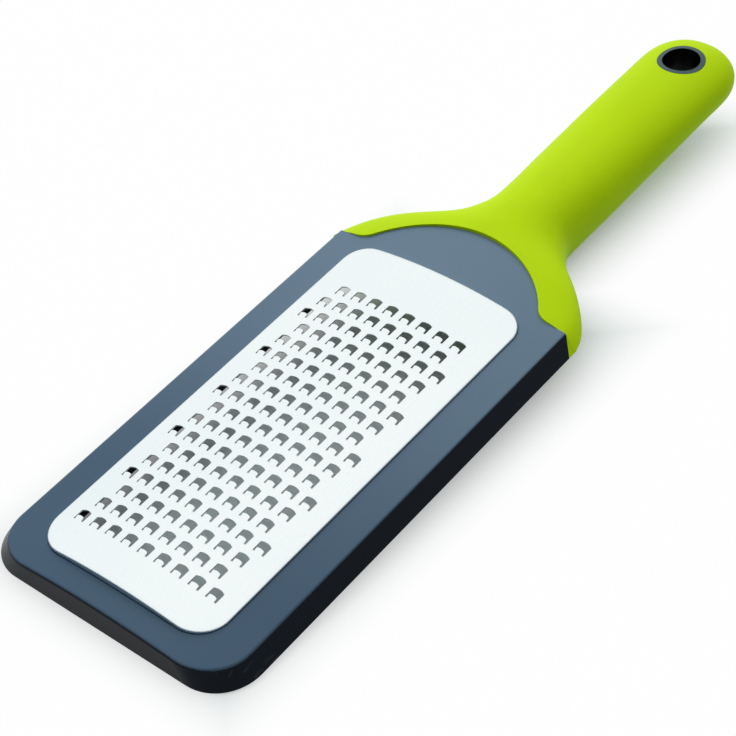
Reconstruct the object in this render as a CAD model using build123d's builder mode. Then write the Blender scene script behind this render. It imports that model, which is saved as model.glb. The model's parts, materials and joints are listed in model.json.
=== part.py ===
from build123d import *
import os
from math import asin, cos, degrees, pi, sin, sqrt

os.makedirs("parts", exist_ok=True)

# Rasp zester, in millimetres. X runs across the tool, +Y along it to the handle, +Z up.
# The origin is under the middle of its length, level with the lowest point of the handle.

# Driving dimensions of the whole tool
overall_length = 279.5
handle_drop = 16.2  # the frame's rim stands this far above the handle's lowest point
frame_depth = 7.6  # from the rim up to the crown of the deck
plate_rise = 3.0  # the plate's crown stands this far above the deck's crown

# Grating plate: one bowed sheet with its edges turned down and a foot turned outwards
plate_width = 60.4
plate_length = 133.5
plate_near_corner = 9.5
plate_far_corner = 7.5
plate_bow_radius = 144.6
sheet = 0.4
plate_edge_radius = 1.3
plate_depth = 7.0  # from the crown down to the underside of the foot
foot_width = 1.5

# Teeth: raised tongues in arched holes, cutting towards the handle
teeth_in_full_row = 9
tooth_rows = 18
side_blank = 7.0  # from the plate's long edge to the first tooth
near_blank = 10.4  # from the plate's near edge to the first row
far_blank = 21.8
row_shift_shares = (0.0, 0.32, 0.65)  # of the pitch, repeated every three rows
tooth_width = 3.56
tooth_length = 3.8
tooth_arch_rise = 0.5
tooth_leg_width = 0.6
tongue_length = 1.4
tongue_arch_rise = 0.27
tongue_lift = 0.4
tongue_root = 0.4

# Frame: a hollow moulding with a bowed deck, open underneath
side_margin = 13.3  # from the plate's edge to the rim
near_margin = 8.35
near_corner = 13.2
side_flare = 5.15  # the sides lean in this far from the rim to the deck's crown
near_flare = 1.0
frame_bow_radius = 320.0
frame_wall = 2.4
deck_thickness = 1.6
deck_edge_radius = 1.0
window_clearance = 0.15
land_width = 4.8
shoulder_margin = 3.2  # from the plate's far edge to the front of the handle's arms
arch_radius = 35.6
arch_rise = 17.9
shoulder_radius = 5.6
rib_thickness = 1.8
rib_spacing = 16.0
rib_clearance = 2.0  # the ribs stop this far above the rim

# Plate retainer: a ring that clamps the plate's foot, staked on pegs of the frame
lip_thickness = 1.6
lip_clearance = 0.2
lip_headroom = 0.9
retainer_thickness = 2.2
retainer_clearance = 0.2
foot_clearance = 0.2
peg_radius = 1.1
peg_inset = 3.2
peg_clearance = 0.1
peg_head_radius = 1.35
peg_head_height = 0.7
side_peg_spacing = 48.0
side_pegs = 3
end_peg_spacing = 32.0
end_pegs = 2

# Handle: an oval grip that widens into two arms beside the arched deck
arm_lip = 1.25  # the arms stand this far above the deck
lap_length = 3.3  # the arms lap this far over the foot of the side walls
lap_height = 4.6  # up to the rounded edge of the deck
lap_depth = 1.2
arm_start = 5.2  # the form starts this far before the front of the arms
yoke_length = 44.0  # from the start of the form to the neck
neck_half_width = 14.1
neck_step = 0.6  # the neck's top above the deck's crown
end_half_width = 15.8
end_dip = 2.1  # the handle's top falls this far below the deck's crown
end_thickness = 16.7
end_roundness = 17.2
end_exponent = 2.5
end_blunt_share = 0.75
grip_wall = 2.4
bush_gap = 0.1

# Handle core and its tenon in the frame
core_start_share = 0.82  # of the yoke's length
tenon_width = 12.0
tenon_height = 3.6
tenon_drop = 4.95  # below the deck's crown
tenon_length = 10.0
tenon_clearance = 0.1

# Bush that lines the hanging hole
hole_radius = 6.0
bush_wall = 1.5
hole_from_tip = 15.7

# Construction
overrun = 5.0
section_points = 36
handle_sections = 24

# Heights and lengths that follow
near_y = -overall_length / 2
tip_y = overall_length / 2
rim_z = handle_drop
deck_z = rim_z + frame_depth
crown_z = deck_z + plate_rise
plate_near_y = near_y + near_margin
plate_far_y = plate_near_y + plate_length
frame_width = plate_width + 2 * side_margin
foot_z = crown_z - plate_depth
land_z = foot_z + sheet
shoulder_y = plate_far_y + shoulder_margin
arch_y = shoulder_y + arch_rise - arch_radius
form_y = shoulder_y - arm_start
neck_y = form_y + yoke_length
end_y = tip_y - end_roundness
core_y = form_y + core_start_share * yoke_length
neck_z = deck_z + neck_step
end_top = deck_z - end_dip
end_bottom = end_top - end_thickness

# Grip stations: place, width, top, bottom and widest level as shares, roundness above and below, and
# how far the sides lean in, as a share of the width
yoke_station_shares = (
    (0.0, 1.0, 0.0, 0.0, 0.02, 8.0, 6.0, 0.1),
    (0.125, 0.995, 0.0, 0.0, 0.02, 8.0, 6.0, 0.1),
    (0.205, 0.955, 0.0, 0.0, 0.02, 5.4, 6.0, 0.09),
    (0.295, 0.88, 0.0, 0.0, 0.04, 4.15, 6.0, 0.07),
    (0.386, 0.77, 0.0, 0.0, 0.08, 3.2, 5.0, 0.05),
    (0.477, 0.645, 0.05, 0.03, 0.14, 2.65, 4.0, 0.03),
    (0.568, 0.505, 0.15, 0.12, 0.22, 2.2, 3.2, 0.01),
    (0.659, 0.355, 0.3, 0.3, 0.3, 1.95, 2.7, 0.0),
    (0.75, 0.215, 0.5, 0.56, 0.38, 1.95, 2.5, 0.0),
    (0.864, 0.09, 0.75, 0.85, 0.45, 2.1, 2.3, 0.0),
)
# The same from the neck to the start of the rounded end
handle_station_shares = (
    (0.0, 0.0, 0.0, 0.0, 0.5, 2.3, 2.3, 0.0),
    (0.305, 0.38, 0.35, 0.34, 0.5, 2.3, 2.3, 0.0),
    (0.61, 0.75, 0.65, 0.74, 0.5, 2.3, 2.3, 0.0),
    (0.914, 0.94, 0.92, 0.97, 0.5, 2.3, 2.3, 0.0),
    (1.0, 1.0, 1.0, 1.0, 0.5, 2.3, 2.3, 0.0),
)
end_angles = (20.0, 38.0, 54.0, 68.0, 80.0)


def between(start, stop, share):
    return start + (stop - start) * share


def outline(grow, z):
    """The plate's outline, grown by a distance, at a height."""
    middle_y = (plate_near_y + plate_far_y) / 2
    with BuildSketch(Plane.XY.offset(z)) as sketch:
        with Locations((0, middle_y)):
            Rectangle(plate_width + 2 * grow, plate_length + 2 * grow)
        fillet(sketch.vertices().group_by(Axis.Y)[0], plate_near_corner + grow)
        fillet(sketch.vertices().group_by(Axis.Y)[-1], plate_far_corner + grow)
    return sketch.sketch


def bowed(radius, top_z):
    """A long cylinder across the tool whose crown is at a height."""
    with BuildSketch(Plane.XZ) as sketch:
        with Locations((0, top_z - radius)):
            Circle(radius)
    return sketch.sketch


def frame_outline(inset, far_y, share):
    """The frame's outline, drawn in by a distance, at a share of its height above the rim."""
    start_y = near_y + inset + near_flare * share
    half_width = frame_width / 2 - inset - side_flare * share
    with BuildSketch(Plane.XY.offset(rim_z + frame_depth * share)) as sketch:
        with Locations((0, (start_y + far_y) / 2)):
            Rectangle(2 * half_width, far_y - start_y)
        fillet(sketch.vertices().group_by(Axis.Y)[0], near_corner - inset)
    return sketch.sketch


def deck_region(gap, z):
    """Everything before the handle's arms and inside the arch, with a gap to them."""
    half_span = frame_width
    line_y = shoulder_y - gap
    crown_radius = arch_radius - gap
    corner_radius = shoulder_radius + gap
    corner_y = line_y + corner_radius
    reach = crown_radius + corner_radius
    corner_x = sqrt(reach**2 - (corner_y - arch_y) ** 2)
    joint_x = corner_x * crown_radius / reach
    joint_y = arch_y + (corner_y - arch_y) * crown_radius / reach
    back_y = near_y - overrun
    with BuildSketch(Plane.XY.offset(z)) as sketch:
        with BuildLine():
            Polyline((-corner_x, line_y), (-half_span, line_y), (-half_span, back_y),
                     (half_span, back_y), (half_span, line_y), (corner_x, line_y))
            RadiusArc((corner_x, line_y), (joint_x, joint_y), corner_radius)
            RadiusArc((joint_x, joint_y), (-joint_x, joint_y), -crown_radius)
            RadiusArc((-joint_x, joint_y), (-corner_x, line_y), corner_radius)
        make_face()
    return sketch.sketch


def oval(y, half_width, top, bottom, widest, roundness_above, roundness_below, lean):
    """A rounded section across the handle, bowed on top like the deck, its sides leaning in."""
    middle = between(bottom, top, widest)
    points = []
    for i in range(section_points):
        angle = 2 * pi * i / section_points
        above = sin(angle) > 0
        roundness = roundness_above if above else roundness_below
        x = half_width * abs(cos(angle)) ** (2 / roundness) * (1 if cos(angle) > 0 else -1)
        up = abs(sin(angle)) ** (2 / roundness)
        if above:
            z = between(middle, top - x**2 / (2 * frame_bow_radius), up)
            x *= 1 - lean * up
        else:
            z = between(middle, bottom, up)
        points.append((x, z))
    with BuildSketch(Plane.XZ.offset(-y)) as sketch:
        with BuildLine():
            Spline(*points, periodic=True)
        make_face()
    return sketch.sketch


def handle_stations():
    """Place, half width, top and bottom heights and shape at each station, from the share tables."""
    stations = []
    for place, width, top, bottom, *shape in yoke_station_shares:
        stations.append((
            between(form_y, neck_y, place),
            between(neck_half_width, frame_width / 2, width),
            between(deck_z + arm_lip, neck_z, top),
            between(rim_z, 0, bottom),
            *shape))
    for place, width, top, bottom, *shape in handle_station_shares:
        stations.append((
            between(neck_y, end_y, place),
            between(neck_half_width, end_half_width, width),
            between(neck_z, end_top, top),
            between(0, end_bottom, bottom),
            *shape))
    return stations


def smooth_station(stations, y):
    """All values at one place, on smooth curves through the stations."""
    i = max(k for k in range(len(stations) - 1) if stations[k][0] <= y)
    before, start, stop, after = (stations[min(max(k, 0), len(stations) - 1)] for k in range(i - 1, i + 3))
    span = stop[0] - start[0]
    share = (y - start[0]) / span
    values = []
    for a, b, c, d in zip(before[1:], start[1:], stop[1:], after[1:]):
        slope_in = (c - a) / (stop[0] - before[0]) * span
        slope_out = (d - b) / (after[0] - start[0]) * span
        values.append(b + slope_in * share
                      + (3 * (c - b) - 2 * slope_in - slope_out) * share**2
                      + (2 * (b - c) + slope_in + slope_out) * share**3)
    return values


def handle_form(inset):
    """Sections from the arms to the rounded end, drawn in by a distance, and the end point."""
    stations = handle_stations()
    sections = []
    for i in range(handle_sections):
        y = between(form_y, end_y, i / (handle_sections - 1))
        half_width, top, bottom, *shape = smooth_station(stations, y)
        sections.append(oval(y, half_width - inset, top - inset, bottom + inset, *shape))
    middle = (end_top + end_bottom) / 2
    reach = end_roundness - inset
    for angle in end_angles:
        along = sin(angle * pi / 180) ** (2 / end_exponent)
        across = cos(angle * pi / 180) ** (2 / end_exponent)
        half_height = (end_thickness / 2 - inset) * across**end_blunt_share
        sections.append(oval(end_y + along * reach, (end_half_width - inset) * across,
                             middle + half_height, middle - half_height, *shape))
    sections.append(Vertex(0, end_y + reach, middle))
    return sections


# The grip's outer form and the form of everything under its skin
with BuildPart() as grip_form:
    loft(handle_form(0))

with BuildPart() as core_form:
    loft(handle_form(grip_wall))
    extrude(deck_region(0, -overrun), amount=crown_z + 2 * overrun, mode=Mode.SUBTRACT)

# Wedges by which the arms lap over the frame's side walls
with BuildPart() as lap:
    with BuildSketch(Plane.YZ):
        with BuildLine():
            Polyline((shoulder_y, rim_z), (shoulder_y - lap_length, rim_z),
                     (shoulder_y, rim_z + lap_height), (shoulder_y, rim_z))
        make_face()
    extrude(amount=frame_width, both=True)
    loft([frame_outline(0, neck_y, 0), frame_outline(0, neck_y, 1)], mode=Mode.INTERSECT)
    loft([frame_outline(lap_depth, neck_y, 0), frame_outline(lap_depth, neck_y, 1)], mode=Mode.SUBTRACT)

# Frame cavity, which leaves the land around the window and the ribs under the arch
with BuildPart() as cavity:
    loft([frame_outline(frame_wall, neck_y, 0), frame_outline(frame_wall, neck_y, 1)])
    extrude(deck_region(frame_wall, rim_z), amount=frame_depth, mode=Mode.INTERSECT)
    extrude(bowed(frame_bow_radius - deck_thickness, deck_z - deck_thickness),
            amount=overall_length, both=True, mode=Mode.INTERSECT)
    extrude(outline(land_width, land_z), amount=frame_depth, mode=Mode.SUBTRACT)
    rib_start = plate_far_y + land_width
    with BuildSketch(Plane.XY.offset(rim_z + rib_clearance)):
        with Locations((0, (rib_start + arch_y + arch_radius) / 2)):
            with GridLocations(rib_spacing, 1, 3, 1):
                Rectangle(rib_thickness, arch_y + arch_radius - rib_start)
    extrude(amount=frame_depth, mode=Mode.SUBTRACT)

# Places of the pegs around the window
middle_y = (plate_near_y + plate_far_y) / 2
peg_x = plate_width / 2 + window_clearance + peg_inset
peg_y = plate_length / 2 + window_clearance + peg_inset
peg_places = []
for i in range(side_pegs):
    step = (i - (side_pegs - 1) / 2) * side_peg_spacing
    peg_places.append((peg_x, middle_y + step))
    peg_places.append((-peg_x, middle_y + step))
for i in range(end_pegs):
    step = (i - (end_pegs - 1) / 2) * end_peg_spacing
    peg_places.append((step, middle_y + peg_y))
    peg_places.append((step, middle_y - peg_y))

# Frame
with BuildPart() as frame:
    loft([frame_outline(0, neck_y, 0), frame_outline(0, neck_y, 1)])
    extrude(bowed(frame_bow_radius, deck_z), amount=overall_length, both=True, mode=Mode.INTERSECT)
    fillet(frame.faces().sort_by(Axis.Z)[-1].edges(), deck_edge_radius)
    extrude(deck_region(0, rim_z), amount=crown_z - rim_z, mode=Mode.INTERSECT)
    add(lap.part, mode=Mode.SUBTRACT)
    add(core_form.part)
    split(bisect_by=Plane.XZ.offset(-core_y), keep=Keep.TOP)
    add(cavity.part, mode=Mode.SUBTRACT)
    extrude(outline(window_clearance, 0), amount=crown_z, mode=Mode.SUBTRACT)
    with BuildSketch(Plane.XY.offset(land_z)):
        with Locations(*peg_places):
            Circle(peg_radius)
    extrude(amount=-retainer_thickness)
    with BuildSketch(Plane.XY.offset(land_z - retainer_thickness)):
        with Locations(*peg_places):
            Circle(peg_head_radius)
    extrude(amount=-peg_head_height)
    socket_z = deck_z - tenon_drop
    with BuildSketch(Plane.XZ.offset(-core_y)):
        with Locations((0, socket_z)):
            Rectangle(tenon_width + 2 * tenon_clearance, tenon_height + 2 * tenon_clearance)
    extrude(amount=tenon_length + tenon_clearance, mode=Mode.SUBTRACT)

frame.part.label = "frame"
export_step(frame.part, "parts/frame.step")

# Handle core with its tenon and the hole for the bush
hole_y = tip_y - hole_from_tip
bush_radius = hole_radius + bush_wall
with BuildPart() as handle_core:
    add(core_form.part)
    split(bisect_by=Plane.XZ.offset(-core_y), keep=Keep.BOTTOM)
    with BuildSketch(Plane.XZ.offset(-core_y)):
        with Locations((0, socket_z)):
            Rectangle(tenon_width, tenon_height)
    extrude(amount=tenon_length)
    with BuildSketch(Plane.XY):
        with Locations((0, hole_y)):
            Circle(bush_radius + bush_gap)
    extrude(amount=crown_z, mode=Mode.SUBTRACT)

handle_core.part.label = "handle_core"
export_step(handle_core.part, "parts/handle_core.step")

# Grip, moulded over the core and round the frame's far end, its arms filling the wedges
with BuildPart() as grip:
    add(grip_form.part)
    extrude(deck_region(0, -overrun), amount=crown_z + 2 * overrun, mode=Mode.SUBTRACT)
    add(core_form.part, mode=Mode.SUBTRACT)
    add(lap.part)
    with BuildSketch(Plane.XY.offset(-overrun)):
        with Locations((0, hole_y)):
            Circle(bush_radius + bush_gap)
    extrude(amount=crown_z + 2 * overrun, mode=Mode.SUBTRACT)

grip.part.label = "grip"
export_step(grip.part, "parts/grip.step")

# Bush in the hanging hole, flush with the grip above and below
with BuildPart() as hang_bush:
    with BuildSketch(Plane.XY.offset(-overrun)):
        with Locations((0, hole_y)):
            Circle(bush_radius)
            Circle(hole_radius, mode=Mode.SUBTRACT)
    extrude(amount=crown_z + 2 * overrun)
    add(grip_form.part, mode=Mode.INTERSECT)

hang_bush.part.label = "hang_bush"
export_step(hang_bush.part, "parts/hang_bush.step")

# Block that becomes the retainer's inner lip
lip_inset = sheet + lip_clearance
with BuildPart() as lip:
    extrude(outline(-lip_inset, foot_z), amount=crown_z - foot_z)
    extrude(bowed(plate_bow_radius, crown_z - sheet - lip_headroom), amount=overall_length, both=True,
            mode=Mode.INTERSECT)

# Plate retainer
with BuildPart() as plate_retainer:
    retainer_grow = window_clearance + land_width - retainer_clearance
    extrude(outline(retainer_grow, land_z), amount=-retainer_thickness)
    extrude(outline(foot_width + foot_clearance, land_z), amount=-sheet, mode=Mode.SUBTRACT)
    extrude(deck_region(frame_wall + retainer_clearance, 0), amount=crown_z, mode=Mode.INTERSECT)
    add(lip.part)
    extrude(outline(-lip_inset - lip_thickness, 0), amount=crown_z, mode=Mode.SUBTRACT)
    with BuildSketch(Plane.XY.offset(land_z)):
        with Locations(*peg_places):
            Circle(peg_radius + peg_clearance)
    extrude(amount=-retainer_thickness, mode=Mode.SUBTRACT)

plate_retainer.part.label = "plate_retainer"
export_step(plate_retainer.part, "parts/plate_retainer.step")

# Inside of the plate
with BuildPart() as plate_hollow:
    extrude(outline(-sheet, foot_z), amount=crown_z)
    extrude(bowed(plate_bow_radius - sheet, crown_z - sheet), amount=overall_length, both=True,
            mode=Mode.INTERSECT)
    fillet(plate_hollow.faces().sort_by(Axis.Z)[-1].edges(), plate_edge_radius - sheet)

# One tooth hole, from the ends of its legs to its arch, and the tongue inside it
arch_line = tooth_length - tooth_arch_rise
with BuildPart() as tooth_hole:
    with BuildSketch(Plane.XY.offset(-2 * sheet)):
        with BuildLine():
            ThreePointArc((tooth_width / 2, arch_line), (0, tooth_length), (-tooth_width / 2, arch_line))
            Polyline((-tooth_width / 2, arch_line), (-tooth_width / 2, 0), (tooth_width / 2, 0),
                     (tooth_width / 2, arch_line))
        make_face()
    extrude(amount=4 * sheet)

tongue_half_width = tooth_width / 2 - tooth_leg_width
tongue_angle = degrees(asin(tongue_lift / tongue_length))
tongue_plane = Plane.XY.rotated((tongue_angle, 0, 0))
with BuildPart() as tongue:
    with BuildSketch(tongue_plane):
        with BuildLine():
            shoulder = tongue_length - tongue_arch_rise
            ThreePointArc((tongue_half_width, shoulder), (0, tongue_length), (-tongue_half_width, shoulder))
            Polyline((-tongue_half_width, shoulder), (-tongue_half_width, -tongue_root),
                     (tongue_half_width, -tongue_root), (tongue_half_width, shoulder))
        make_face()
    extrude(amount=-sheet)

# Places of the teeth on the bowed plate
pitch_across = (plate_width - 2 * side_blank) / (teeth_in_full_row - 1)
pitch_along = (plate_length - near_blank - far_blank) / (tooth_rows - 1)
tooth_places = []
for row in range(tooth_rows):
    shift = row_shift_shares[row % len(row_shift_shares)]
    teeth = teeth_in_full_row if shift == 0 else teeth_in_full_row - 1
    y = plate_near_y + near_blank + row * pitch_along
    for tooth in range(teeth):
        x = side_blank - plate_width / 2 + (tooth + shift) * pitch_across
        lean = asin(x / plate_bow_radius)
        z = crown_z - plate_bow_radius * (1 - cos(lean))
        place = Plane((x, y, z), x_dir=(cos(lean), 0, -sin(lean)), z_dir=(sin(lean), 0, cos(lean)))
        tooth_places.append(place)

# Grating plate
with BuildPart() as grating_plate:
    extrude(outline(0, foot_z), amount=crown_z)
    extrude(bowed(plate_bow_radius, crown_z), amount=overall_length, both=True, mode=Mode.INTERSECT)
    fillet(grating_plate.faces().sort_by(Axis.Z)[-1].edges(), plate_edge_radius)
    extrude(outline(foot_width, foot_z), amount=sheet)
    add(plate_hollow.part, mode=Mode.SUBTRACT)
    with Locations(*tooth_places):
        add(tooth_hole.part, mode=Mode.SUBTRACT)
    with Locations(*tooth_places):
        add(tongue.part)

grating_plate.part.label = "grating_plate"
export_step(grating_plate.part, "parts/grating_plate.step")
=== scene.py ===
# %% [markdown]
# # A rasp zester with a lime grip
#
# The tool is a flat hand grater: a bowed steel plate with rows of small raised teeth, held in a hollow
# slate frame, and a soft lime handle whose arms run round the frame's far end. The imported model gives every
# solid in its place, in metres. This lesson gives it light, a camera and finishes that read as the real
# materials.

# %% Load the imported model
import json
import math

import bpy
from mathutils import Euler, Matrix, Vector


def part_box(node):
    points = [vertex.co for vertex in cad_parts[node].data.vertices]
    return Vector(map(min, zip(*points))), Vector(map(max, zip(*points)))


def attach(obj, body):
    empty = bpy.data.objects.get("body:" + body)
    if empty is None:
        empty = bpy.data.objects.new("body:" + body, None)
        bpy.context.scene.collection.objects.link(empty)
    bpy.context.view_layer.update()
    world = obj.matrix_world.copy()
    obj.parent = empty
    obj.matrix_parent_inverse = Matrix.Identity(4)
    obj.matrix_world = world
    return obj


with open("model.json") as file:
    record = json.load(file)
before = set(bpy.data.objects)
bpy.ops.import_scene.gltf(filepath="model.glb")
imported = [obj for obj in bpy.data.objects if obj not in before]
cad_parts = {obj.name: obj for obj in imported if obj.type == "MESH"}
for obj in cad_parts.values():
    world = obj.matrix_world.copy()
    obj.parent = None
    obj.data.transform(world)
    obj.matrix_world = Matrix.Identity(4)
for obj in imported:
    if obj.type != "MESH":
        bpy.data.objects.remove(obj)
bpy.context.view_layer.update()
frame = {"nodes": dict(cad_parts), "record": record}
nodes = frame["nodes"]
print("nodes:", sorted(nodes))

# %% [markdown]
# ## The camera
#
# The photograph looks down on the tool from the near right, about 45 degrees above it, with a long lens.
# The rows of teeth are a regular grid, so they fix the view: the place, the turn and the lens below are
# those at which the grid falls on the photographed teeth. The picture is square, and its middle is on the
# lens axis, so no shift is needed.

# %% Set up the camera
sensor_width_mm = 36.0
lens_mm = 101.5704
camera_place = (0.28993, -0.31694, 0.41950)
camera_turn_degrees = (44.9714, 6.3557, 39.1757)

camera_data = bpy.data.cameras.new("photo_view")
camera_data.sensor_fit = "HORIZONTAL"
camera_data.sensor_width = sensor_width_mm
camera_data.lens = lens_mm
camera = bpy.data.objects.new("photo_view", camera_data)
camera.location = camera_place
camera.rotation_euler = Euler([math.radians(angle) for angle in camera_turn_degrees], "XYZ")
bpy.context.scene.collection.objects.link(camera)
bpy.context.scene.camera = camera
print("camera", round(camera.location.length, 3), "m from the origin, which is under the tool's middle")

# %% [markdown]
# ## The floor
#
# Laid down, the tool touches the table in two places: the near edge of its frame and the belly of its
# handle. So the floor leans by a few degrees under it, and both places meet it. A plain level plane would
# leave the frame hanging in the air. The lean is found from the handle's own mesh.

# %% Find where the tool rests
handle_from_y = 0.02
rest_edge_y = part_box("frame")[0].y
rest_edge_z = next(m["pos_m"][2] for m in frame["record"]["mounts"] if m["name"] == "frame_rest")
belly_slopes = [
    (v.co.z - rest_edge_z) / (v.co.y - rest_edge_y)
    for v in nodes["grip"].data.vertices if v.co.y > handle_from_y
]
floor_slope = min(belly_slopes)
print("the floor leans by", round(math.degrees(math.atan(floor_slope)), 2), "degrees")

# %% Lay the floor
floor_half_size = 4.0
floor_gap = 0.0001  # the floor lies this far under the places where the tool rests
bpy.ops.object.select_all(action="DESELECT")
bpy.ops.mesh.primitive_plane_add(size=2 * floor_half_size, location=(0, 0, 0))
floor = bpy.context.object
floor.name = "studio_floor"
for corner in floor.data.vertices:
    corner.co.z = rest_edge_z + floor_slope * (corner.co.y - rest_edge_y) - floor_gap
print("floor height under the middle:", round(rest_edge_z - floor_slope * rest_edge_y, 4), "m")

# %% [markdown]
# ## Helpers for materials
#
# A material is a graph of nodes, and a graph that is written out node by node soon gets long. So a few
# helpers add a node, mix two colours, map a value to another range or calculate with it. Another turns a
# colour as it is read from a screen into the linear values that Blender works in.

# %% Colour helper
def screen_colour(red, green, blue):
    """A colour given as 0 to 255 on a screen, as linear values with alpha, by the sRGB curve."""
    linear = []
    for value in (red, green, blue):
        share = value / 255
        linear.append(share / 12.92 if share <= 0.04045 else ((share + 0.055) / 1.055) ** 2.4)
    return (*linear, 1.0)


print("a mid grey of 128 is", round(screen_colour(128, 128, 128)[0], 3), "in linear values")


# %% Node helpers
def feed(tree, socket, value):
    """Links a socket to the value where the value is a socket too, or else sets it."""
    if isinstance(value, bpy.types.NodeSocket):
        tree.links.new(value, socket)
    else:
        socket.default_value = value


def add_node(tree, kind, inputs=None, **settings):
    """Adds a node, sets its properties, and feeds its inputs, given by name or by number."""
    node = tree.nodes.new(kind)
    for key, value in settings.items():
        setattr(node, key, value)
    for key, value in (inputs or {}).items():
        feed(tree, node.inputs[key], value)
    return node


def map_range(tree, value, low, high, to_low=0.0, to_high=1.0, curve="LINEAR"):
    """The value, mapped from low and high to two other ends and held between them."""
    node = add_node(tree, "ShaderNodeMapRange", {
        "Value": value, "From Min": low, "From Max": high, "To Min": to_low, "To Max": to_high},
        interpolation_type=curve)
    return node.outputs["Result"]


def calculate(tree, operation, *values, clamp=False):
    """The result of a Math node on values or sockets, held between 0 and 1 if clamp is set."""
    node = add_node(tree, "ShaderNodeMath", dict(enumerate(values)), operation=operation, use_clamp=clamp)
    return node.outputs["Value"]


# %% Colour mixing
# A Mix node has sockets for every kind of value. These are the numbers of its sockets for colours.
mix_factor, mix_first, mix_second, mix_result = 0, 6, 7, 2


def mix_colours(tree, factor, first, second):
    """The colour between two others, from the first at 0 to the second at 1."""
    node = add_node(tree, "ShaderNodeMix", {
        mix_factor: factor, mix_first: first, mix_second: second}, data_type="RGBA")
    return node.outputs[mix_result]


# %% [markdown]
# ## Starting a material or a group
#
# Every finish starts in the same way, with a Principled shader and the coordinates of its object. Object
# coordinates are in metres and stay fixed to the piece, so a pattern keeps its real size wherever the piece
# goes. A pattern that several finishes share is a node group, which is built once and then placed in each.

# %% Start a material
def start_material(name):
    """A new material: itself, its nodes, its Principled shader and its coordinates."""
    material = bpy.data.materials.new(name)
    material.use_nodes = True
    tree = material.node_tree
    shader = tree.nodes["Principled BSDF"]
    return material, tree, shader, tree.nodes.new("ShaderNodeTexCoord")


# %% Start and use a group
def start_group(name, inputs, outputs):
    """A shader node group with named sockets, and its input and output nodes."""
    group = bpy.data.node_groups.new(name, "ShaderNodeTree")
    for label, kind, value in inputs:
        socket = group.interface.new_socket(label, in_out="INPUT", socket_type=kind)
        if value is not None:
            socket.default_value = value
    for label in outputs:
        group.interface.new_socket(label, in_out="OUTPUT", socket_type="NodeSocketFloat")
    return group, group.nodes.new("NodeGroupInput"), group.nodes.new("NodeGroupOutput")


def use_group(tree, group, **values):
    """Places a group in a material and feeds its inputs, named with underscores for spaces."""
    node = tree.nodes.new("ShaderNodeGroup")
    node.node_tree = group
    for key, value in values.items():
        feed(tree, node.inputs[key.replace("_", " ")], value)
    return node


# %% [markdown]
# ## Moulded skin
#
# The plastics and the soft grip come out of a mould that was etched with a fine texture, and no moulded
# part has a perfectly even colour. One group gives both effects: a height for the etched texture and a slow
# tone that drifts over the piece. Each material places it with its own texture size, and the steel takes
# only its tone.

# %% Build the moulded skin group
moulded_skin, given, result = start_group(
    "moulded_skin",
    [("Vector", "NodeSocketVector", None), ("Texture Scale", "NodeSocketFloat", 3000.0),
     ("Drift Scale", "NodeSocketFloat", 12.0)],
    ["Height", "Tone"])
etched = add_node(moulded_skin, "ShaderNodeTexNoise", {
    "Vector": given.outputs["Vector"], "Scale": given.outputs["Texture Scale"],
    "Detail": 3.0, "Roughness": 0.55})
drift = add_node(moulded_skin, "ShaderNodeTexNoise", {
    "Vector": given.outputs["Vector"], "Scale": given.outputs["Drift Scale"],
    "Detail": 2.0, "Roughness": 0.4})
moulded_skin.links.new(etched.outputs["Fac"], result.inputs["Height"])
moulded_skin.links.new(drift.outputs["Fac"], result.inputs["Tone"])
print("group", moulded_skin.name, "puts out", [s.name for s in result.inputs if s.name])

# %% [markdown]
# ## Light scuffs
#
# A tool that lies in a drawer picks up faint hairline scuffs. They are noise that is stretched along one
# direction and cut off, so that only its highest ridges stay as a mask. A second, broader noise breaks the
# lines up, because real scuffs come in patches.

# %% Build the scuff group
hair_scuffs, given, result = start_group(
    "hair_scuffs",
    [("Vector", "NodeSocketVector", None), ("Stretch", "NodeSocketVector", (1.0, 1.0, 1.0)),
     ("Lines", "NodeSocketFloat", 0.62)],
    ["Mask"])
stretched = add_node(hair_scuffs, "ShaderNodeVectorMath", {
    0: given.outputs["Vector"], 1: given.outputs["Stretch"]}, operation="MULTIPLY")
lines = add_node(hair_scuffs, "ShaderNodeTexNoise", {
    "Vector": stretched.outputs["Vector"], "Scale": 1.0, "Detail": 4.0, "Roughness": 0.6,
    "Distortion": 0.3})
patches = add_node(hair_scuffs, "ShaderNodeTexNoise", {
    "Vector": given.outputs["Vector"], "Scale": 45.0, "Detail": 1.0})
ridges = map_range(hair_scuffs, lines.outputs["Fac"], low=given.outputs["Lines"], high=0.78)
broken = map_range(hair_scuffs, patches.outputs["Fac"], low=0.5, high=0.65)
hair_scuffs.links.new(calculate(hair_scuffs, "MULTIPLY", ridges, broken), result.inputs["Mask"])
print("group", hair_scuffs.name, "puts out", [s.name for s in result.inputs if s.name])

# %% [markdown]
# ## Roughness and bump
#
# Steel and plastic are alike in two more ways. Their roughness varies with the texture and is higher on a
# scuff, and the texture stands up by a few hundredths of a millimetre. That is far too little to model, so a
# Bump node only turns the surface's direction for the light.

# %% Surface helpers
noise_low, noise_high = 0.3, 0.7  # a noise keeps between these nearly everywhere


def set_roughness(tree, shader, pattern, smooth, rough, scuffs, scuff_extra):
    """Roughness that follows a pattern from smooth to rough, with some extra on the scuffs."""
    even = map_range(tree, pattern, noise_low, noise_high, smooth, rough)
    scuffed = calculate(tree, "MULTIPLY_ADD", scuffs.outputs["Mask"], scuff_extra, even)
    tree.links.new(scuffed, shader.inputs["Roughness"])


def set_bump(tree, shader, height, strength, distance):
    """A bump from a height, with its strength and its distance in metres."""
    bump = add_node(tree, "ShaderNodeBump", {"Height": height, "Strength": strength, "Distance": distance})
    tree.links.new(bump.outputs["Normal"], shader.inputs["Normal"])


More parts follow.
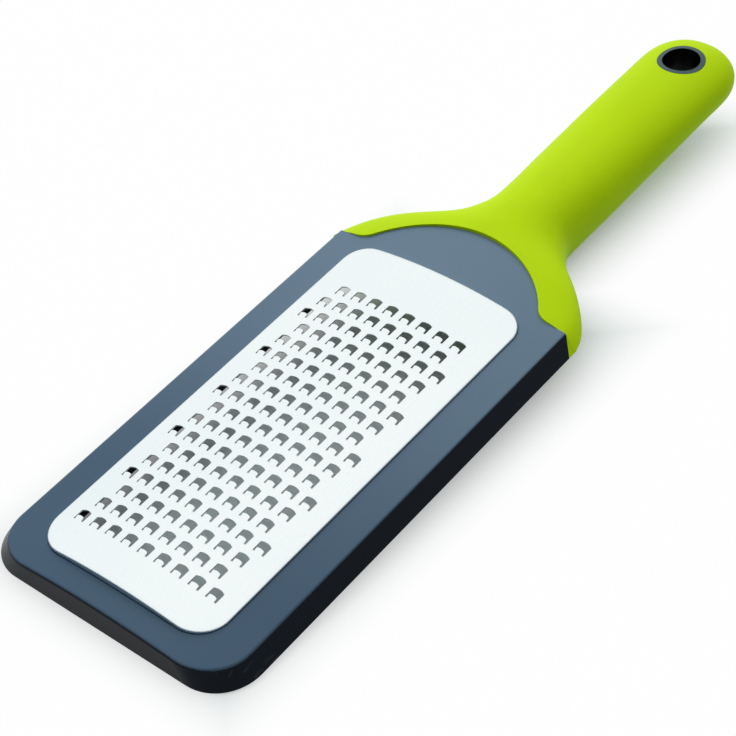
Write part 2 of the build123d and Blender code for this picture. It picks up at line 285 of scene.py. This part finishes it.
# %% [markdown]
# ## The steel plate
#
# The plate is stainless sheet, rolled and lightly finished along its length, then pierced and stretched. It
# looks nearly white because a metal shows what is round it, here a white studio. The grain is noise that is
# stretched along the plate: it changes the roughness and gives a very low bump, so the sheet is satin and
# not a mirror.

# %% Make the steel finish
grain_stretch = (6000.0, 90.0, 6000.0)
steel_scuff_stretch = (3200.0, 130.0, 800.0)
steel_dark = screen_colour(235, 244, 245)
steel_light = screen_colour(243, 249, 249)

steel, tree, shader, coordinates = start_material("satin_steel")
place = coordinates.outputs["Object"]
shader.inputs["Metallic"].default_value = 1.0
shader.inputs["Anisotropic"].default_value = 0.25
grain_place = add_node(tree, "ShaderNodeMapping", {"Vector": place, "Scale": grain_stretch})
grain = add_node(tree, "ShaderNodeTexNoise", {
    "Vector": grain_place.outputs["Vector"], "Scale": 1.0, "Detail": 3.0, "Roughness": 0.6})
skin = use_group(tree, moulded_skin, Vector=place, Texture_Scale=900.0, Drift_Scale=16.0)
scuffs = use_group(tree, hair_scuffs, Vector=place, Stretch=steel_scuff_stretch, Lines=0.6)
tone = map_range(tree, skin.outputs["Tone"], noise_low, noise_high)
tree.links.new(mix_colours(tree, tone, steel_dark, steel_light), shader.inputs["Base Color"])
set_roughness(
    tree, shader, grain.outputs["Fac"], smooth=0.24, rough=0.34, scuffs=scuffs, scuff_extra=0.12)
set_bump(tree, shader, grain.outputs["Fac"], strength=0.035, distance=0.00002)
print("finish", steel.name, "has", len(tree.nodes), "nodes")

# %% [markdown]
# ## The plastics
#
# The frame is a satin slate moulding, and the bush, the core and the retainer are of the same plastic. They
# share one recipe: a base colour that drifts a little, an etched texture in the bump, and faint scuffs that
# are paler and rougher than the rest. The walls are nearly black beside the deck, darker than the light here
# makes them while the lime beside them stays bright, so their shade is painted: the colour falls to a darker
# one where the surface turns away from straight up. The deck is paler at the arch than at the near corner,
# and this is painted light: the colour follows a slow ramp along the tool.

# %% Values that the plastics share
plastic_ior = 1.48
plastic_drift_scale = 14.0
plastic_scuff_stretch = (900.0, 160.0, 700.0)
# painted light: the plastics grow paler between these two places along the tool, from the near corner to the
# arch
painted_light_from_y, painted_light_to_y = -0.12, 0.03
tone_drift = 0.4
# painted shade: at or below the first Z the walls take their dark colour in full, at or above the second the
# deck keeps its own
wall_faces_up, deck_faces_up = 0.62, 0.92  # Z of the surface's direction where each colour is full
scuff_paleness = 0.25
roughness_spread = 0.04
plastic_bump_height = 0.00003


# %% Colour a moulded plastic
def plastic_colour(tree, coordinates, tone, dark, light, painted_wall_shade):
    """Painted light from dark to light along the tool with a drift of tone, and painted shade on what faces
    sideways.
    """
    along = add_node(tree, "ShaderNodeSeparateXYZ", {"Vector": coordinates.outputs["Object"]})
    # painted light: paler towards the arch
    painted_light_ramp = map_range(tree, along.outputs["Y"], painted_light_from_y, painted_light_to_y, curve="SMOOTHSTEP")
    drifting = calculate(tree, "MULTIPLY_ADD", tone, tone_drift, -tone_drift / 2)
    toned = mix_colours(tree, calculate(tree, "ADD", painted_light_ramp, drifting, clamp=True), dark, light)
    # painted shade: what faces sideways takes the darker wall colour
    turn = add_node(tree, "ShaderNodeSeparateXYZ", {"Vector": coordinates.outputs["Normal"]})
    free_of_painted_shade = map_range(tree, turn.outputs["Z"], wall_faces_up, deck_faces_up)
    return mix_colours(tree, free_of_painted_shade, painted_wall_shade, toned)


# %% Make a moulded plastic
def moulded_plastic(name, dark, light, painted_wall_shade, roughness, gloss, texture_scale, bump, scuff_colour):
    """A plastic finish: two tones with painted light between them, a painted wall shade, a roughness, a
    specular level, and its etching.
    """
    material, tree, shader, coordinates = start_material(name)
    place = coordinates.outputs["Object"]
    shader.inputs["IOR"].default_value = plastic_ior
    shader.inputs["Specular IOR Level"].default_value = gloss
    skin = use_group(
        tree, moulded_skin, Vector=place, Texture_Scale=texture_scale, Drift_Scale=plastic_drift_scale)
    scuffs = use_group(tree, hair_scuffs, Vector=place, Stretch=plastic_scuff_stretch, Lines=0.62)
    moulded = plastic_colour(tree, coordinates, skin.outputs["Tone"], dark, light, painted_wall_shade)
    paleness = calculate(tree, "MULTIPLY", scuffs.outputs["Mask"], scuff_paleness)
    tree.links.new(mix_colours(tree, paleness, moulded, scuff_colour), shader.inputs["Base Color"])
    set_roughness(
        tree, shader, skin.outputs["Height"], roughness - roughness_spread,
        roughness + roughness_spread, scuffs, scuff_extra=0.18)
    set_bump(tree, shader, skin.outputs["Height"], bump, plastic_bump_height)
    print("finish", name, "has", len(tree.nodes), "nodes")
    return material


# %% Make the slate plastics
# in each, dark to light is painted light along the tool as well as drift, and the wall colour is painted
# shade
slate_gloss = moulded_plastic(
    "slate_gloss",
    dark=screen_colour(71, 95, 116), light=screen_colour(108, 132, 151), painted_wall_shade=screen_colour(8, 18, 28),
    roughness=0.3, gloss=0.09, texture_scale=2600.0, bump=0.1, scuff_colour=screen_colour(110, 128, 142))
slate_satin = moulded_plastic(
    "slate_satin",
    dark=screen_colour(44, 60, 74), light=screen_colour(50, 68, 82), painted_wall_shade=screen_colour(14, 20, 26),
    roughness=0.55, gloss=0.15, texture_scale=2200.0, bump=0.35, scuff_colour=screen_colour(80, 95, 108))
bush_slate = moulded_plastic(
    "bush_slate",
    dark=screen_colour(56, 78, 82), light=screen_colour(66, 90, 92), painted_wall_shade=screen_colour(5, 7, 9),
    roughness=0.28, gloss=0.2, texture_scale=3200.0, bump=0.05, scuff_colour=screen_colour(120, 140, 150))

# %% [markdown]
# ## The soft grip
#
# The grip is a thermoplastic rubber. It is brighter and more saturated than hard plastic, its etched
# texture is deeper, so its highlight spreads into a broad soft glow, and handling leaves patches that are a
# little smoother and darker. The colour leans from a clean lime to a slightly deeper one by the drifting
# tone.

# %% Make the lime grip
lime_deep = screen_colour(186, 223, 4)
lime_clean = screen_colour(191, 227, 8)
lime_worn = screen_colour(178, 214, 4)

lime, tree, shader, coordinates = start_material("lime_soft_grip")
place = coordinates.outputs["Object"]
shader.inputs["IOR"].default_value = 1.46
shader.inputs["Specular IOR Level"].default_value = 0.06
skin = use_group(tree, moulded_skin, Vector=place, Texture_Scale=2400.0, Drift_Scale=22.0)
handling = add_node(tree, "ShaderNodeTexNoise", {
    "Vector": place, "Scale": 60.0, "Detail": 3.0, "Roughness": 0.55})
handled = handling.outputs["Fac"]
tone = map_range(tree, skin.outputs["Tone"], noise_low, noise_high)
lime_base = mix_colours(tree, tone, lime_deep, lime_clean)
worn = map_range(tree, handled, low=0.52, high=0.72, to_low=0.0, to_high=0.3)
tree.links.new(mix_colours(tree, worn, lime_base, lime_worn), shader.inputs["Base Color"])
rough = map_range(tree, handled, low=0.35, high=0.7, to_low=0.56, to_high=0.48)
tree.links.new(rough, shader.inputs["Roughness"])
set_bump(tree, shader, skin.outputs["Height"], strength=0.35, distance=0.00004)
print("finish", lime.name, "has", len(tree.nodes), "nodes")

# %% [markdown]
# ## Put the finishes on
#
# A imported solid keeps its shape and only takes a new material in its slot. The names on the left are the
# solids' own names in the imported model.

# %% Give each solid its finish
finishes = {
    "grating_plate": steel,
    "frame": slate_gloss,
    "plate_retainer": slate_satin,
    "handle_core": slate_satin,
    "hang_bush": bush_slate,
    "grip": lime,
}
for name, material in finishes.items():
    for slot in nodes[name].material_slots:
        slot.material = material
    print(name, "takes", material.name)

# %% [markdown]
# ## The plate's rounded ends
#
# The plate's two ends are rounded by 1.3 mm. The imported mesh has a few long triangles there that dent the
# edge, and it is the brightest line of the tool. So each end gets a slim bead of the same section, which
# stands 0.03 mm proud and covers the dents. A curve with a bevel could make one too, but its section would
# have to be turned to fit. Here a quarter of a disc is spun round the axis of the plate's own bow, so the
# bead follows the plate exactly.

# %% Measures of the beads
edge_radius = 0.0013
proud = 0.00003
bow_radius = 0.1446
foot_width = 0.0015
plate_depth = 0.007
far_corner_radius = 0.0075
near_corner_radius = 0.0095
corner_gap = 0.0003  # a bead stops this far before the plate's round corners
plate_low, plate_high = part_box("grating_plate")
crown_z = plate_low.z + plate_depth
plate_edge_x = plate_high.x - foot_width
print("the plate's crown is at", round(1000 * crown_z, 2), "mm, its edge at", round(1000 * plate_edge_x, 2))


# %% Cut a quarter of a disc
def quarter_disc(name, middle, lean, outward, endward):
    """A quarter of a disc that stands along the tool, cut to what lies outward and endward of its middle."""
    bpy.ops.object.select_all(action="DESELECT")
    bpy.ops.mesh.primitive_circle_add(
        vertices=48, radius=edge_radius + proud, fill_type="NGON", location=middle,
        rotation=(0.0, math.pi / 2 - lean, 0.0))
    disc = bpy.context.object
    disc.name = name
    bpy.ops.object.transform_apply(location=True, rotation=True, scale=True)
    bpy.ops.object.mode_set(mode="EDIT")
    for normal in (outward, endward):
        bpy.ops.mesh.select_all(action="SELECT")
        bpy.ops.mesh.bisect(plane_co=middle, plane_no=normal, clear_inner=True)
    bpy.ops.object.mode_set(mode="OBJECT")
    return disc


# %% Shape a bead
def end_bead(name, edge_y, side, half_reach):
    """A quarter-round bead on one end of the plate, facing away from the plate's middle."""
    half_turn = math.asin(half_reach / bow_radius)
    axis_point = Vector((0.0, edge_y - side * edge_radius, crown_z - bow_radius))
    outward = Vector((-math.sin(half_turn), 0.0, math.cos(half_turn)))
    start = axis_point + (bow_radius - edge_radius) * outward
    bead = quarter_disc(name, start, half_turn, outward, Vector((0.0, side, 0.0)))
    bpy.ops.object.mode_set(mode="EDIT")
    bpy.ops.mesh.select_all(action="SELECT")
    bpy.ops.mesh.spin(steps=24, angle=2 * half_turn, center=axis_point, axis=(0.0, -1.0, 0.0))
    bpy.ops.mesh.select_all(action="SELECT")
    bpy.ops.mesh.normals_make_consistent(inside=False)
    bpy.ops.object.mode_set(mode="OBJECT")
    bpy.ops.object.shade_smooth_by_angle(angle=math.radians(40.0))
    bead.data.materials.append(steel)
    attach(bead, "root")
    return bead


# %% Place the two beads
for name, edge_y, side, corner_radius in (
        ("plate_far_bead", plate_high.y - foot_width, 1.0, far_corner_radius),
        ("plate_near_bead", plate_low.y + foot_width, -1.0, near_corner_radius)):
    bead = end_bead(name, edge_y, side, plate_edge_x - corner_radius - corner_gap)
    across = [1000 * v.co.x for v in bead.data.vertices]
    print(name, "runs from", round(min(across), 1), "to", round(max(across), 1), "mm across")

# %% [markdown]
# ## What is seen and what is lit
#
# The photograph's ground is plain white, and so is all that the steel mirrors, yet the light comes from one
# side. So the floor and the world each have two looks: one for rays that carry light on to other surfaces,
# and a plainer one for what is seen straight, in a reflection or through something clear. The Light Path
# node tells the two kinds of ray apart.

# %% Helpers for the two looks
white_colour = (1.0, 1.0, 1.0, 1.0)


def seen_rays(tree):
    """1 for rays from the camera, a reflection or something clear, and 0 for the others."""
    paths = tree.nodes.new("ShaderNodeLightPath")
    seen = calculate(tree, "MAXIMUM", paths.outputs["Is Camera Ray"], paths.outputs["Is Glossy Ray"])
    return calculate(tree, "MAXIMUM", seen, paths.outputs["Is Transmission Ray"])


def blend_shaders(tree, factor, first, second, surface):
    """Gives a surface the first shader where the factor is 0 and the second where it is 1."""
    blend = add_node(tree, "ShaderNodeMixShader", {0: factor, 1: first, 2: second})
    tree.links.new(blend.outputs["Shader"], surface)


# %% [markdown]
# ## The floor's finish
#
# The floor is a matt board, pale and a little cool, so it takes the tool's soft shadow. Where it is seen it
# is lifted towards pure white, more with the distance from the tool, so its far edge doesn't show. Under the
# tool it is left as it is, because the camera sees it there through the holes of the teeth. The tool's plan
# is taken as two boxes, one for the frame and one for the handle, and the distance from the nearer box
# drives the lift.

# %% Start the floor's finish
board_colour = (0.68, 0.76, 0.76, 1.0)
board = bpy.data.materials.new("white_board")
board.use_nodes = True
tree = board.node_tree
tree.nodes.remove(tree.nodes["Principled BSDF"])
coordinates = tree.nodes.new("ShaderNodeTexCoord")
matt = add_node(tree, "ShaderNodeBsdfDiffuse", {"Color": board_colour})
lit_white = add_node(tree, "ShaderNodeEmission", {"Color": white_colour, "Strength": 1.0})
print("floor colour", board_colour[:3])


# %% Measure the distance from a box
def beyond_box(tree, place, middle_y, half_width, half_length):
    """How far a place lies outside a box on the plan, and below 0 inside the box."""
    centred = add_node(tree, "ShaderNodeVectorMath", {
        0: place, 1: (0.0, middle_y, 0.0)}, operation="SUBTRACT")
    folded = add_node(tree, "ShaderNodeVectorMath", {0: centred.outputs["Vector"]}, operation="ABSOLUTE")
    beyond = add_node(tree, "ShaderNodeVectorMath", {
        0: folded.outputs["Vector"], 1: (half_width, half_length, 0.0)}, operation="SUBTRACT")
    parts = add_node(tree, "ShaderNodeSeparateXYZ", {"Vector": beyond.outputs["Vector"]})
    return calculate(tree, "MAXIMUM", parts.outputs["X"], parts.outputs["Y"])


# %% Lift the floor towards white
lift_from, lift_to = -0.022, 0.014  # distances from the tool's plan
full_lift = 0.98
beyond_frame = beyond_box(
    tree, coordinates.outputs["Object"], middle_y=-0.053, half_width=0.0435, half_length=0.087)
beyond_handle = beyond_box(
    tree, coordinates.outputs["Object"], middle_y=0.085, half_width=0.017, half_length=0.055)
distance = calculate(tree, "MINIMUM", beyond_frame, beyond_handle)
away = map_range(tree, distance, lift_from, lift_to, to_high=full_lift, curve="SMOOTHSTEP")
lifted = calculate(tree, "MULTIPLY", away, seen_rays(tree))
blend_shaders(
    tree, lifted, matt.outputs["BSDF"], lit_white.outputs["Emission"],
    tree.nodes["Material Output"].inputs["Surface"])
floor.data.materials.append(board)
print("floor finish", board.name, "has", len(tree.nodes), "nodes")

# %% [markdown]
# ## The light
#
# In the photograph the deck and the plate are bright, and the walls that face the camera are nearly black.
# So the light is one wide, soft source high behind the tool on the left, and little comes from the camera's
# side. The world is that source: it is bright round one direction and falls off slowly. What the camera and
# the steel see of it is plain white, as in a white studio. A large soft lamp from the same side adds form.
# It is left out of reflections, or it would burn out the steel.

# %% Light the world
source_direction = Vector((-0.50, 0.42, 0.76)).normalized()
dark_cosine, bright_cosine = -0.05, 0.97  # of the angle from the source
dim_level, bright_level = 0.04, 1.3

world = bpy.data.worlds.new("white_studio")
bpy.context.scene.world = world
world.use_nodes = True
tree = world.node_tree
sky = tree.nodes.new("ShaderNodeTexCoord")
facing = add_node(tree, "ShaderNodeVectorMath", {
    0: sky.outputs["Generated"], 1: source_direction}, operation="DOT_PRODUCT")
glow = map_range(
    tree, facing.outputs["Value"], dark_cosine, bright_cosine, dim_level, bright_level, curve="SMOOTHSTEP")
dome = tree.nodes["Background"]
dome.inputs["Color"].default_value = white_colour
tree.links.new(glow, dome.inputs["Strength"])
plain = add_node(tree, "ShaderNodeBackground", {"Color": white_colour, "Strength": 1.0})
blend_shaders(
    tree, seen_rays(tree), dome.outputs["Background"], plain.outputs["Background"],
    tree.nodes["World Output"].inputs["Surface"])
print("light comes from", [round(v, 2) for v in source_direction])

# %% Hang the lamp
lamp_size = 0.9
lamp_power = 3.0
lamp_distance = 1.3
lamp_data = bpy.data.lights.new("soft_lamp", "AREA")
lamp_data.shape = "DISK"
lamp_data.size = lamp_size
lamp_data.energy = lamp_power
lamp = bpy.data.objects.new("soft_lamp", lamp_data)
lamp.location = source_direction * lamp_distance
lamp.rotation_euler = (-source_direction).to_track_quat("-Z", "Y").to_euler()
lamp.visible_glossy = False
bpy.context.scene.collection.objects.link(lamp)
print("lamp at", [round(v, 2) for v in lamp.location])

# %% [markdown]
# ## Finish
#
# The Standard view shows each colour about as it is written.

# %% Set the view and finish
bpy.context.scene.view_settings.view_transform = "Standard"
